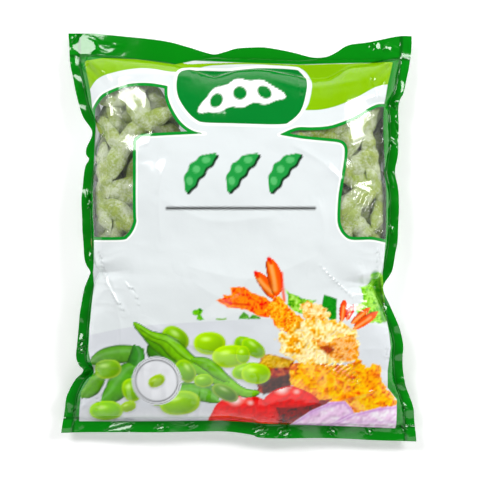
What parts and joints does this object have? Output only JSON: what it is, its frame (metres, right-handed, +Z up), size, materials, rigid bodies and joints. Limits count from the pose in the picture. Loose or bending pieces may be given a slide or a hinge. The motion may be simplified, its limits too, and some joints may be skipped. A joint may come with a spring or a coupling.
{
  "type": "bag of frozen edamame pods",
  "caption": "Sealed pillow-shaped film bag with two clear windows, filled with loose frozen edamame pods, lying on its back.",
  "frame": {"origin": "middle of the footprint, at the underside that lies on the surface", "axes": "+X across the bag to the right as its front is read, +Y towards its top edge, +Z up out of its printed front"},
  "size_m": [0.2648, 0.3044, 0.0544],
  "materials": {
    "front_film": "glossy printed laminate film with green borders, a pale panel and two clear windows",
    "back_film": "glossy green printed laminate film",
    "pod_skin": "soft hairy green pod skin dulled by white frost"
  },
  "bodies": {
    "root": {"back_film": "back_film", "front_film": "front_film", "frozen_clump_01": "pod_skin", "frozen_clump_02": "pod_skin", "frozen_clump_03": "pod_skin", "frozen_clump_04": "pod_skin", "frozen_clump_05": "pod_skin", "frozen_clump_06": "pod_skin", "frozen_clump_07": "pod_skin", "frozen_clump_08": "pod_skin", "frozen_clump_09": "pod_skin", "frozen_clump_10": "pod_skin", "pod_deep_left_01": "pod_skin", "pod_deep_right_01": "pod_skin", "pod_deep_right_02": "pod_skin", "pod_left_01": "pod_skin", "pod_left_02": "pod_skin", "pod_left_03": "pod_skin", "pod_left_04": "pod_skin", "pod_left_05": "pod_skin", "pod_left_06": "pod_skin", "pod_left_07": "pod_skin", "pod_left_08": "pod_skin", "pod_left_09": "pod_skin", "pod_low_left_01": "pod_skin", "pod_low_left_02": "pod_skin", "pod_low_left_03": "pod_skin", "pod_low_right_01": "pod_skin", "pod_low_right_02": "pod_skin", "pod_low_right_03": "pod_skin", "pod_low_right_04": "pod_skin", "pod_low_right_05": "pod_skin", "pod_right_01": "pod_skin", "pod_right_02": "pod_skin", "pod_right_03": "pod_skin", "pod_right_04": "pod_skin", "pod_right_05": "pod_skin", "pod_right_06": "pod_skin", "pod_right_07": "pod_skin", "pod_right_08": "pod_skin"}
  },
  "joints": []
}
